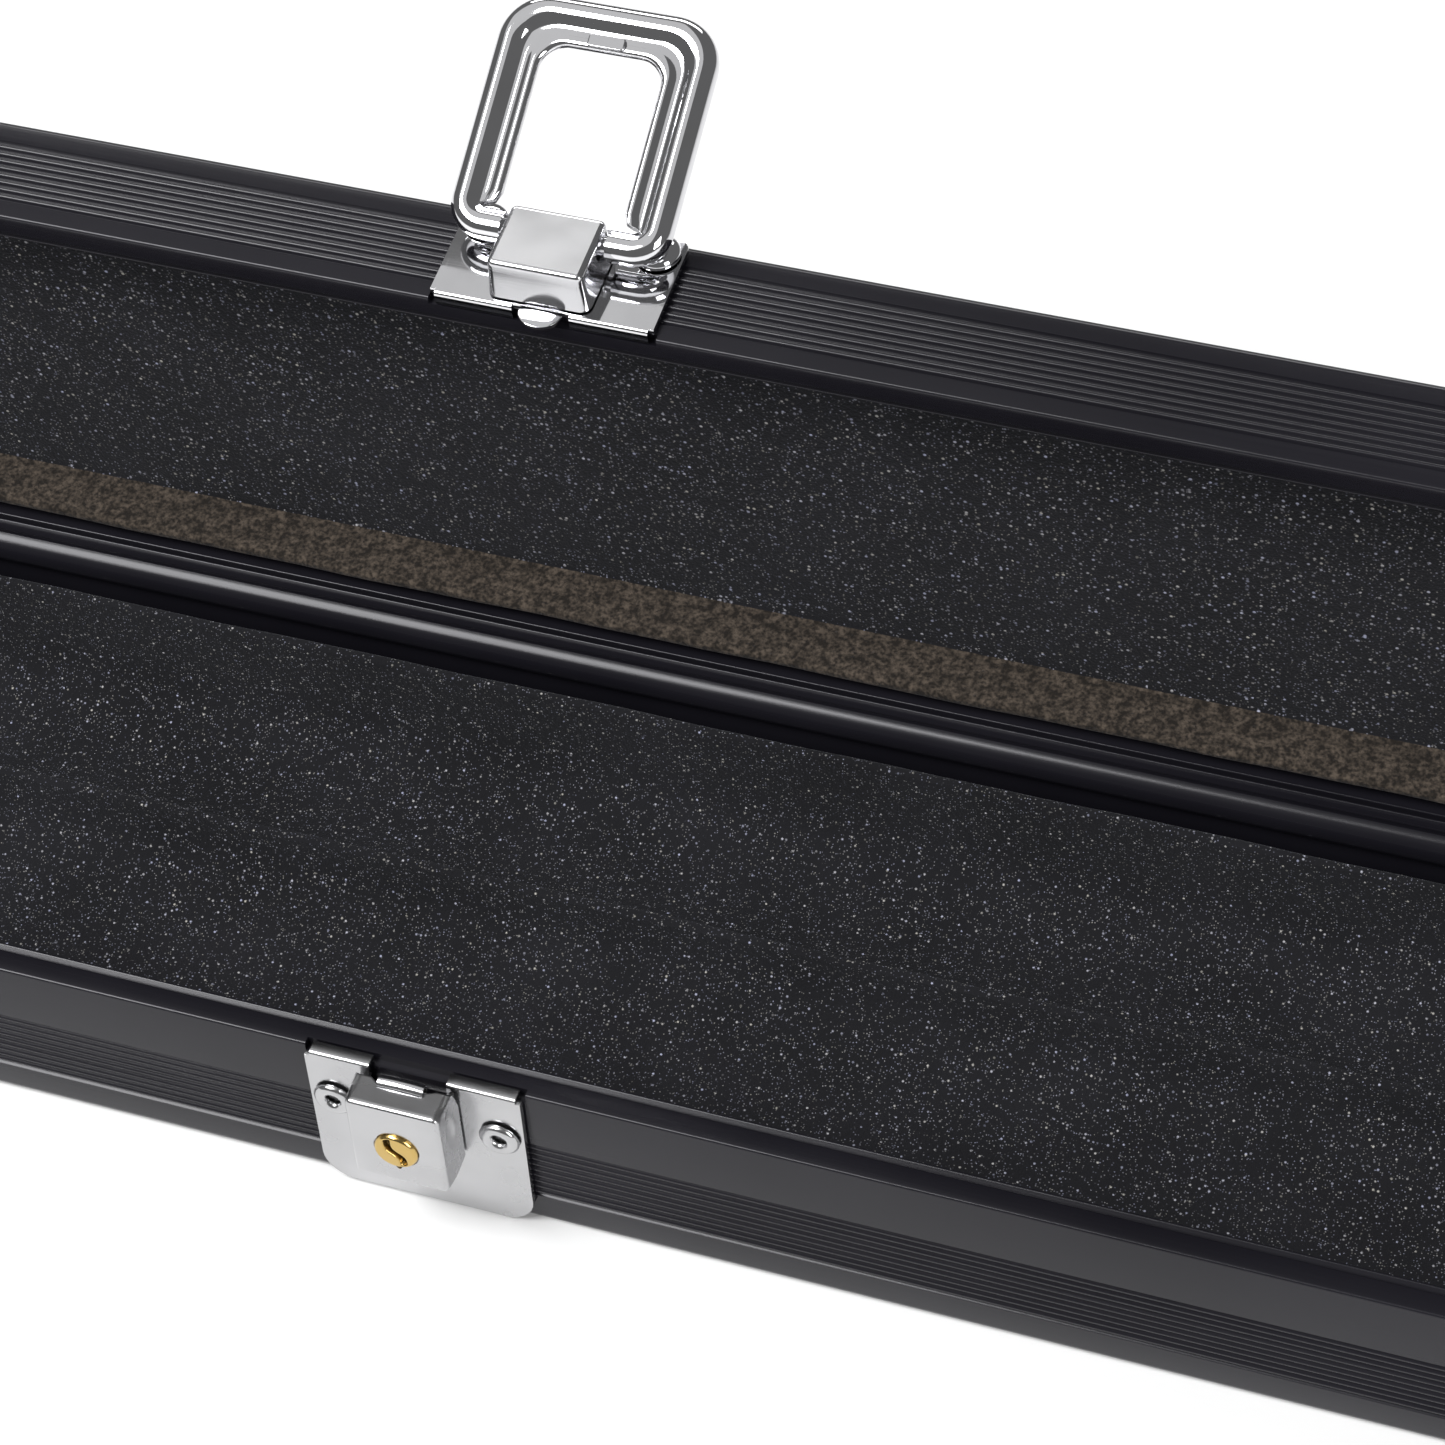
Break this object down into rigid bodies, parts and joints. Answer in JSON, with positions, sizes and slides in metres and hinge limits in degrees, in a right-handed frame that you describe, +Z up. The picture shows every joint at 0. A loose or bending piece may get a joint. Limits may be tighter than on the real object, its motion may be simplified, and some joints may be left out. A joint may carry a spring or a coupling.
{
  "type": "cue case",
  "caption": "Slim extruded aluminium cue case, ribbed and lined with foam, with a hinged lid, hasp locks with looped catches and a carrying handle.",
  "frame": {"origin": "centre of the base's underside", "axes": "+X along the case towards its right end, -Y the front with the locks and the handle, +Z up out of the open base"},
  "size_m": [1.25, 0.1267, 0.1092],
  "materials": {
    "black_anodised": "satin black anodised extrusion",
    "black_plastic": "fine moulded grain",
    "charcoal_lining": "speckled foam with a short pile",
    "chrome": "polished plate, a little brushed on the flats",
    "steel": "bright zinc plate",
    "brass": "turned face"
  },
  "bodies": {
    "base": {"base_shell": "black_anodised", "base_cap_left": "black_plastic", "base_cap_right": "black_plastic", "base_foam": "charcoal_lining", "base_screw_front_left": "steel", "base_screw_rear_left": "steel", "lock_plate_left": "chrome", "lock_bracket_left": "steel", "lever_pin_left": "steel", "lock_rivet_left_a": "chrome", "lock_rivet_left_b": "chrome", "handle_bracket_left": "chrome", "handle_pin_left": "steel", "handle_rivet_left_a": "chrome", "handle_rivet_left_b": "chrome", "base_screw_front_right": "steel", "base_screw_rear_right": "steel", "lock_plate_right": "chrome", "lock_bracket_right": "steel", "lever_pin_right": "steel", "lock_rivet_right_a": "chrome", "lock_rivet_right_b": "chrome", "handle_bracket_right": "chrome", "handle_pin_right": "steel", "handle_rivet_right_a": "chrome", "handle_rivet_right_b": "chrome"},
    "lid": {"lid_shell": "black_anodised", "lid_cap_left": "black_plastic", "lid_cap_right": "black_plastic", "lid_foam": "charcoal_lining", "lid_screw_front_left": "steel", "lid_screw_rear_left": "steel", "hasp_plate_left": "chrome", "hasp_block_left": "chrome", "hasp_rivet_left_a": "chrome", "hasp_rivet_left_b": "chrome", "lid_screw_front_right": "steel", "lid_screw_rear_right": "steel", "hasp_plate_right": "chrome", "hasp_block_right": "chrome", "hasp_rivet_right_a": "chrome", "hasp_rivet_right_b": "chrome"},
    "handle": {"handle_grip": "black_plastic"},
    "hasp_loop_left": {"hasp_loop_left": "chrome"},
    "lock_lever_left": {"lock_lever_left": "chrome", "lever_spring_left": "steel"},
    "key_left": {"key_cylinder_left": "brass", "lock_cam_left": "steel"},
    "hasp_loop_right": {"hasp_loop_right": "chrome"},
    "lock_lever_right": {"lock_lever_right": "chrome", "lever_spring_right": "steel"},
    "key_right": {"key_cylinder_right": "brass", "lock_cam_right": "steel"}
  },
  "joints": [
    {"name": "lid_hinge", "type": "hinge", "parent": "base", "child": "lid", "pos_m": [0, 0.033, 0.02355], "axis": [1, 0, 0], "range_deg": [0, 82]},
    {"name": "hasp_loop_left_hinge", "type": "hinge", "parent": "lid", "child": "hasp_loop_left", "pos_m": [-0.3755, 0.03168, 0.09436], "axis": [1, 0, 0], "range_deg": [0, 158]},
    {"name": "lock_lever_left_tilt", "type": "hinge", "parent": "base", "child": "lock_lever_left", "pos_m": [-0.3755, -0.0362, 0.0207], "axis": [-1, 0, 0], "range_deg": [0, 12], "stiffness_Nm_per_rad": 0.02},
    {"name": "key_left_turn", "type": "hinge", "parent": "lock_lever_left", "child": "key_left", "pos_m": [-0.3755, -0.0393, 0.016], "axis": [0, 1, 0], "range_deg": [-90, 0]},
    {"name": "hasp_loop_right_hinge", "type": "hinge", "parent": "lid", "child": "hasp_loop_right", "pos_m": [0.3745, 0.03168, 0.09436], "axis": [1, 0, 0], "range_deg": [0, 158]},
    {"name": "lock_lever_right_tilt", "type": "hinge", "parent": "base", "child": "lock_lever_right", "pos_m": [0.3745, -0.0362, 0.0207], "axis": [-1, 0, 0], "range_deg": [0, 12], "stiffness_Nm_per_rad": 0.02},
    {"name": "key_right_turn", "type": "hinge", "parent": "lock_lever_right", "child": "key_right", "pos_m": [0.3745, -0.0393, 0.016], "axis": [0, 1, 0], "range_deg": [-90, 0]},
    {"name": "handle_hinge", "type": "hinge", "parent": "base", "child": "handle", "pos_m": [0, -0.0414, 0.0117], "axis": [-1, 0, 0], "range_deg": [0, 100]}
  ]
}
